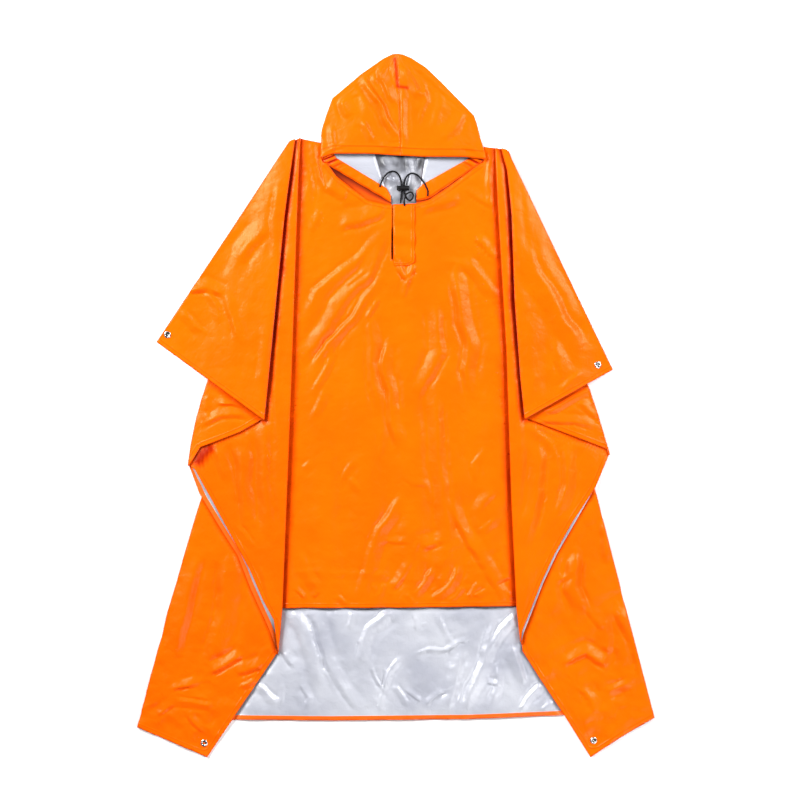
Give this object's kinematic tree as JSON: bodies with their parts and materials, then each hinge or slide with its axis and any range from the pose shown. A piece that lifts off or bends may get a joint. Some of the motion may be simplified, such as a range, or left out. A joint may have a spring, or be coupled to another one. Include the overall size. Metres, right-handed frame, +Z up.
{
  "type": "hooded poncho",
  "caption": "Hooded rain poncho laid flat, its sides pleated over themselves, with a drawcord, cord lock and corner eyelets.",
  "frame": {"origin": "on the surface the garment lies on, under the middle of its outline", "axes": "+X to the viewer's right in the picture, +Y towards the hood, +Z up from the surface"},
  "size_m": [1.0564, 1.4417, 0.0156],
  "materials": {
    "shell_cloth": "glossy coated orange cloth, silver-coated inside",
    "cord": "black braided cord",
    "lock_plastic": "black moulded plastic",
    "eyelet_metal": "bright nickel-plated steel"
  },
  "bodies": {
    "root": {"front_panel": "shell_cloth", "back_panel": "shell_cloth", "hood_left": "shell_cloth", "hood_right": "shell_cloth", "hood_tunnel_left": "shell_cloth", "hood_tunnel_right": "shell_cloth", "chest_placket": "shell_cloth", "drawcord_left": "cord", "drawcord_right": "cord", "cord_lock": "lock_plastic", "eyelet_left_wrist": "eyelet_metal", "eyelet_right_wrist": "eyelet_metal", "eyelet_left_corner": "eyelet_metal", "eyelet_right_corner": "eyelet_metal"}
  },
  "joints": []
}
